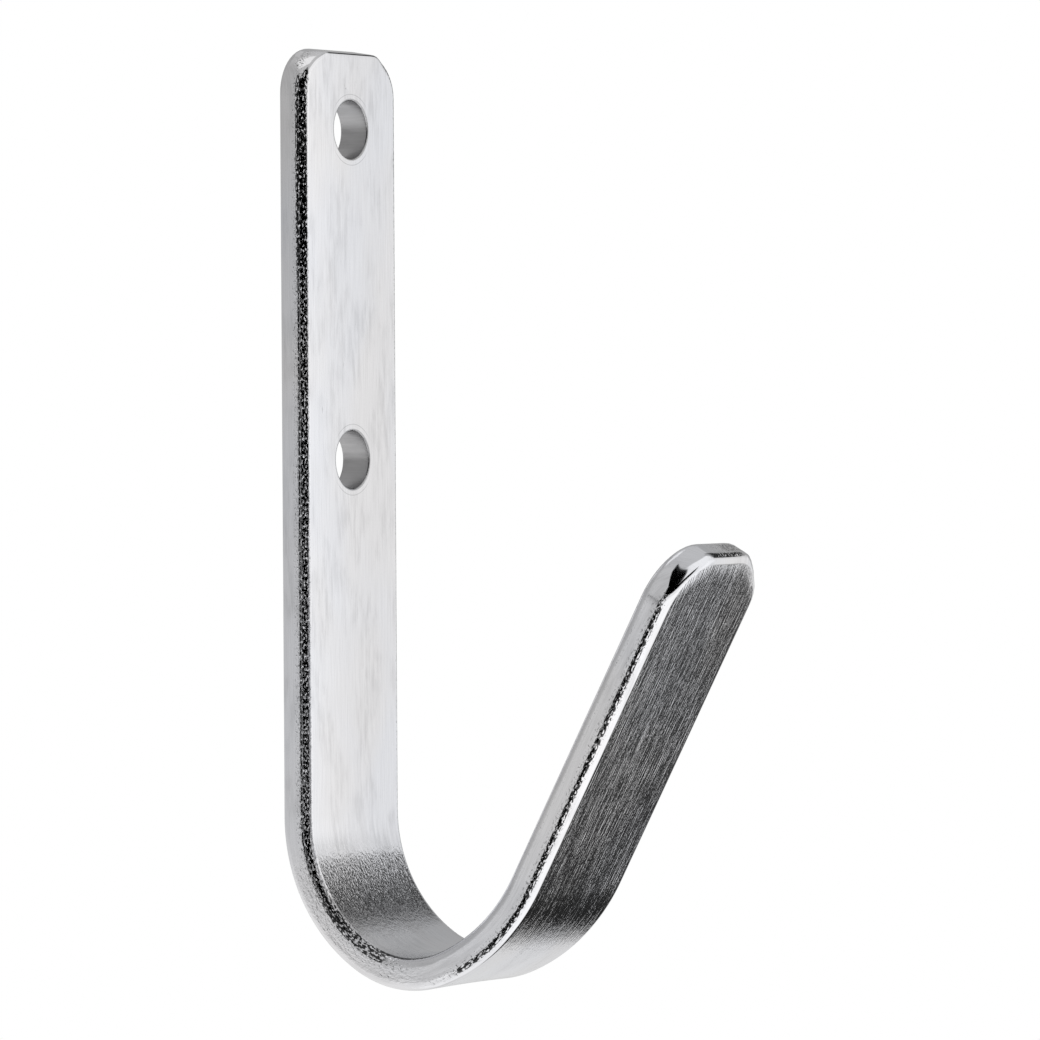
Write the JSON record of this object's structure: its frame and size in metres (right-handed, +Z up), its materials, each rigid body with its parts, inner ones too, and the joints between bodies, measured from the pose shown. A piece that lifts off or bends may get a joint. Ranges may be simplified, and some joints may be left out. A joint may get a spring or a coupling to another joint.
{
  "type": "utility hook",
  "caption": "Flat steel bar bent to an open J, screwed to a wall through its upright, for hanging tools, hoses or leads on its leaning arm.",
  "frame": {"origin": "on the wall plane, in the middle of the upright's back face, midway between the two screw holes", "axes": "+Y into the wall, +Z up, +X across the bar; the arm leans out along -Y"},
  "size_m": [0.02, 0.0574, 0.1129],
  "materials": {
    "zinc_plated_steel": "bright zinc plate on rolled bar, with fine lengthwise rolling marks and tumbled edges"
  },
  "bodies": {
    "root": {"hook": "zinc_plated_steel"}
  },
  "joints": []
}
